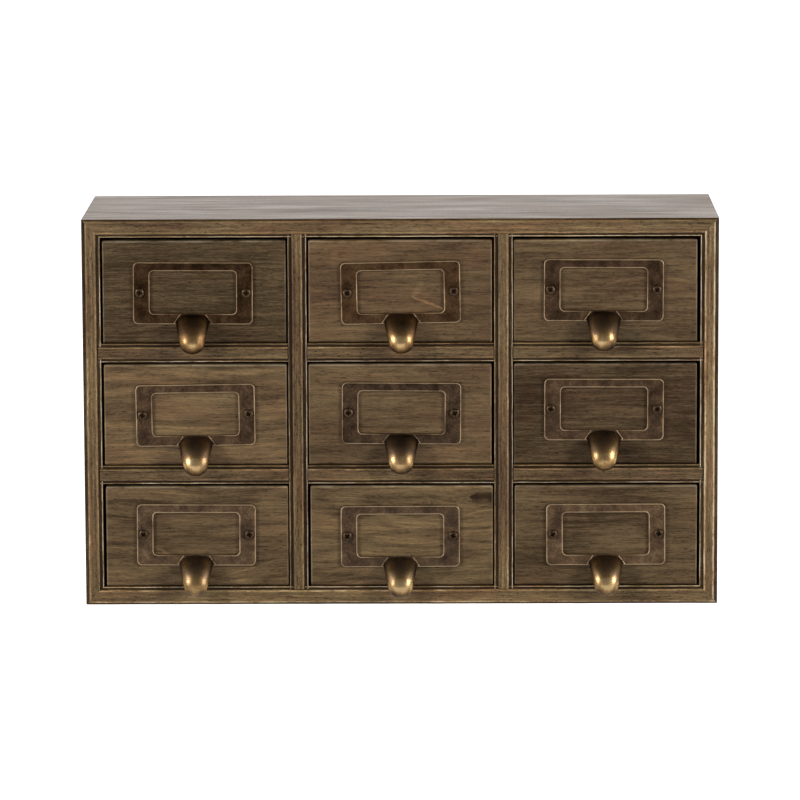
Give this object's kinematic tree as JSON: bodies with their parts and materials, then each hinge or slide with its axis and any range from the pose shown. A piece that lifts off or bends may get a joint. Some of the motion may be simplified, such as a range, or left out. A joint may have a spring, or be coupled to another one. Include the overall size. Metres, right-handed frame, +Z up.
{
  "type": "apothecary cabinet",
  "caption": "Desktop apothecary cabinet: a mitred wooden case with a grid of small inset drawers, each with a brass label frame and a hooded finger pull.",
  "frame": {"origin": "centre of the case's underside, on the surface it stands on", "axes": "+X to the right across the width as seen from the front, +Y from the drawer fronts to the back, +Z up"},
  "size_m": [0.4, 0.1491, 0.246],
  "materials": {
    "stained_wood": "dark olive-brown stain, satin, worn lighter along the edges",
    "drawer_wood": "plain unstained wood",
    "antique_brass": "dark antique brass, rubbed bright along the edges and on the pull",
    "screw_bronze": "dark bronze plating"
  },
  "bodies": {
    "case": {"bottom_board": "stained_wood", "top_board": "stained_wood", "left_side": "stained_wood", "right_side": "stained_wood", "back_panel": "stained_wood", "left_partition": "stained_wood", "right_partition": "stained_wood", "left_lower_shelf": "stained_wood", "left_upper_shelf": "stained_wood", "middle_lower_shelf": "stained_wood", "middle_upper_shelf": "stained_wood", "right_lower_shelf": "stained_wood", "right_upper_shelf": "stained_wood"},
    "drawer_bottom_left": {"front_bottom_left": "stained_wood", "box_bottom_left": "drawer_wood", "pull_bottom_left": "antique_brass", "screw_a_bottom_left": "screw_bronze", "screw_b_bottom_left": "screw_bronze"},
    "drawer_bottom_middle": {"front_bottom_middle": "stained_wood", "box_bottom_middle": "drawer_wood", "pull_bottom_middle": "antique_brass", "screw_a_bottom_middle": "screw_bronze", "screw_b_bottom_middle": "screw_bronze"},
    "drawer_bottom_right": {"front_bottom_right": "stained_wood", "box_bottom_right": "drawer_wood", "pull_bottom_right": "antique_brass", "screw_a_bottom_right": "screw_bronze", "screw_b_bottom_right": "screw_bronze"},
    "drawer_centre_left": {"front_centre_left": "stained_wood", "box_centre_left": "drawer_wood", "pull_centre_left": "antique_brass", "screw_a_centre_left": "screw_bronze", "screw_b_centre_left": "screw_bronze"},
    "drawer_centre_middle": {"front_centre_middle": "stained_wood", "box_centre_middle": "drawer_wood", "pull_centre_middle": "antique_brass", "screw_a_centre_middle": "screw_bronze", "screw_b_centre_middle": "screw_bronze"},
    "drawer_centre_right": {"front_centre_right": "stained_wood", "box_centre_right": "drawer_wood", "pull_centre_right": "antique_brass", "screw_a_centre_right": "screw_bronze", "screw_b_centre_right": "screw_bronze"},
    "drawer_top_left": {"front_top_left": "stained_wood", "box_top_left": "drawer_wood", "pull_top_left": "antique_brass", "screw_a_top_left": "screw_bronze", "screw_b_top_left": "screw_bronze"},
    "drawer_top_middle": {"front_top_middle": "stained_wood", "box_top_middle": "drawer_wood", "pull_top_middle": "antique_brass", "screw_a_top_middle": "screw_bronze", "screw_b_top_middle": "screw_bronze"},
    "drawer_top_right": {"front_top_right": "stained_wood", "box_top_right": "drawer_wood", "pull_top_right": "antique_brass", "screw_a_top_right": "screw_bronze", "screw_b_top_right": "screw_bronze"}
  },
  "joints": [
    {"name": "slide_bottom_left", "type": "slide", "parent": "case", "child": "drawer_bottom_left", "axis": [0, -1, 0], "range_m": [0, 0.1]},
    {"name": "slide_bottom_middle", "type": "slide", "parent": "case", "child": "drawer_bottom_middle", "axis": [0, -1, 0], "range_m": [0, 0.1]},
    {"name": "slide_bottom_right", "type": "slide", "parent": "case", "child": "drawer_bottom_right", "axis": [0, -1, 0], "range_m": [0, 0.1]},
    {"name": "slide_centre_left", "type": "slide", "parent": "case", "child": "drawer_centre_left", "axis": [0, -1, 0], "range_m": [0, 0.1]},
    {"name": "slide_centre_middle", "type": "slide", "parent": "case", "child": "drawer_centre_middle", "axis": [0, -1, 0], "range_m": [0, 0.1]},
    {"name": "slide_centre_right", "type": "slide", "parent": "case", "child": "drawer_centre_right", "axis": [0, -1, 0], "range_m": [0, 0.1]},
    {"name": "slide_top_left", "type": "slide", "parent": "case", "child": "drawer_top_left", "axis": [0, -1, 0], "range_m": [0, 0.1]},
    {"name": "slide_top_middle", "type": "slide", "parent": "case", "child": "drawer_top_middle", "axis": [0, -1, 0], "range_m": [0, 0.1]},
    {"name": "slide_top_right", "type": "slide", "parent": "case", "child": "drawer_top_right", "axis": [0, -1, 0], "range_m": [0, 0.1]}
  ]
}
